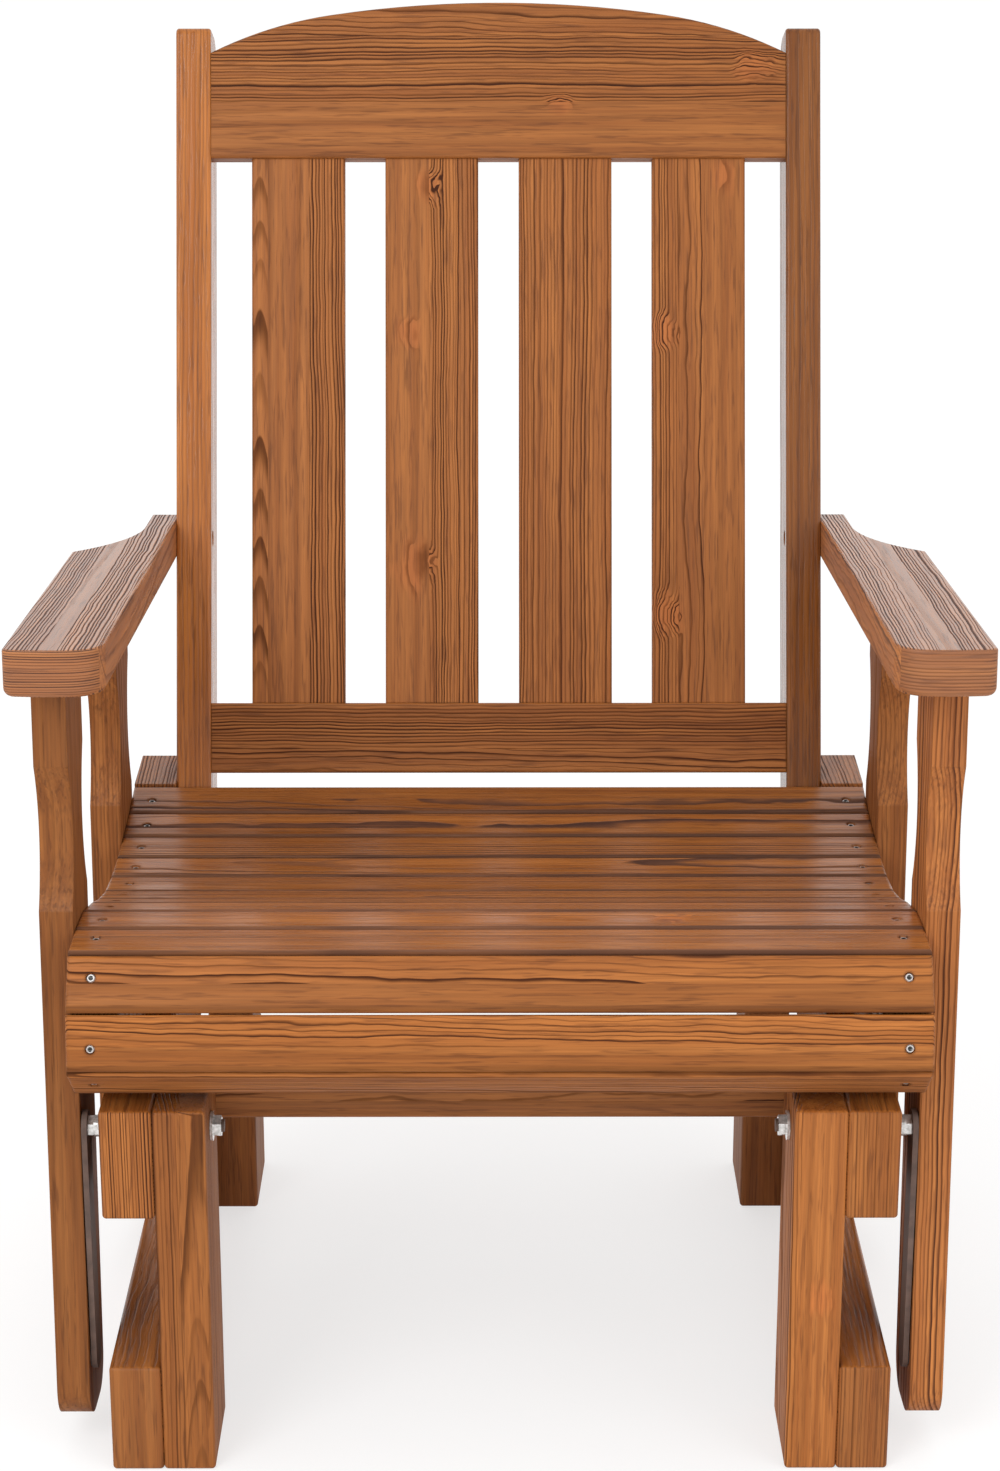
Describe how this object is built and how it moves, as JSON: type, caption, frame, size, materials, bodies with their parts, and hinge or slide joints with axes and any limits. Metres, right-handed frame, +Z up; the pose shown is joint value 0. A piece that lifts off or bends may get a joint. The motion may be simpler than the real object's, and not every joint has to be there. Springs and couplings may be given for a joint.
{
  "type": "glider chair",
  "caption": "Wooden porch glider chair with a contoured slatted seat, upright back slats and flat arms, hung on swinging links so that it glides over a low fixed base.",
  "frame": {"origin": "on the floor under the middle of the chair's box at rest", "axes": "+Z up, -Y the way the sitter faces, +X the right as seen from the front"},
  "size_m": [0.6786, 0.7002, 1.0118],
  "materials": {
    "stained_pine": "satin stain over grain",
    "coated_steel": "brown powder coat",
    "zinc_hardware": "bright zinc plate",
    "bush_nylon": "matt moulded",
    "dowel_wood": "raw, hidden in its holes"
  },
  "bodies": {
    "base": {"bottom_rail_left": "stained_pine", "bottom_rail_right": "stained_pine", "upper_rail_left": "stained_pine", "upper_rail_right": "stained_pine", "front_post_left": "stained_pine", "front_post_right": "stained_pine", "rear_post_left": "stained_pine", "rear_post_right": "stained_pine", "front_stretcher": "stained_pine", "rear_stretcher": "stained_pine", "frame_screws": "zinc_hardware", "upper_bushes": "bush_nylon"},
    "front_link_left": {"front_link_left": "coated_steel", "front_link_nuts_left": "zinc_hardware"},
    "front_link_right": {"front_link_right": "coated_steel", "front_link_nuts_right": "zinc_hardware"},
    "rear_link_left": {"rear_link_left": "coated_steel", "rear_link_nuts_left": "zinc_hardware"},
    "rear_link_right": {"rear_link_right": "coated_steel", "rear_link_nuts_right": "zinc_hardware"},
    "seat": {"seat_support_left": "stained_pine", "seat_support_right": "stained_pine", "seat_slat_01": "stained_pine", "seat_slat_02": "stained_pine", "seat_slat_03": "stained_pine", "seat_slat_04": "stained_pine", "seat_slat_05": "stained_pine", "seat_slat_06": "stained_pine", "seat_slat_07": "stained_pine", "seat_slat_08": "stained_pine", "seat_slat_09": "stained_pine", "seat_slat_10": "stained_pine", "seat_slat_11": "stained_pine", "seat_slat_12": "stained_pine", "seat_slat_13": "stained_pine", "slat_screws": "zinc_hardware", "front_leg_left": "stained_pine", "front_leg_right": "stained_pine", "rear_leg_left": "stained_pine", "rear_leg_right": "stained_pine", "leg_screws": "zinc_hardware", "leg_bushes": "bush_nylon", "arm_left": "stained_pine", "arm_right": "stained_pine", "arm_dowels": "dowel_wood", "arm_screws": "zinc_hardware", "back_post_left": "stained_pine", "back_post_right": "stained_pine", "back_post_bolts": "zinc_hardware", "crest_rail": "stained_pine", "lower_back_rail": "stained_pine", "back_slat_1": "stained_pine", "back_slat_2": "stained_pine", "back_slat_3": "stained_pine", "back_slat_4": "stained_pine", "back_rail_screws": "zinc_hardware"}
  },
  "joints": [
    {"name": "glide", "type": "hinge", "parent": "base", "child": "front_link_left", "pos_m": [-0.3018, -0.28563, 0.2606], "axis": [1, 0, 0], "range_deg": [-15, 15]},
    {"name": "front_right_swing", "type": "hinge", "parent": "base", "child": "front_link_right", "pos_m": [0.3018, -0.28563, 0.2606], "axis": [1, 0, 0], "range_deg": [-15, 15]},
    {"name": "rear_left_swing", "type": "hinge", "parent": "base", "child": "rear_link_left", "pos_m": [-0.3018, 0.00107, 0.2606], "axis": [1, 0, 0], "range_deg": [-15, 15]},
    {"name": "rear_right_swing", "type": "hinge", "parent": "base", "child": "rear_link_right", "pos_m": [0.3018, 0.00107, 0.2606], "axis": [1, 0, 0], "range_deg": [-15, 15]},
    {"name": "seat_level", "type": "hinge", "parent": "front_link_left", "child": "seat", "pos_m": [-0.3018, -0.28563, 0.0758], "axis": [1, 0, 0], "range_deg": [-15, 15]}
  ],
  "couplings": [
    {"joint": "front_right_swing", "follows": "glide", "ratio": 1},
    {"joint": "rear_left_swing", "follows": "glide", "ratio": 1},
    {"joint": "rear_right_swing", "follows": "glide", "ratio": 1},
    {"joint": "seat_level", "follows": "glide", "ratio": -1}
  ]
}
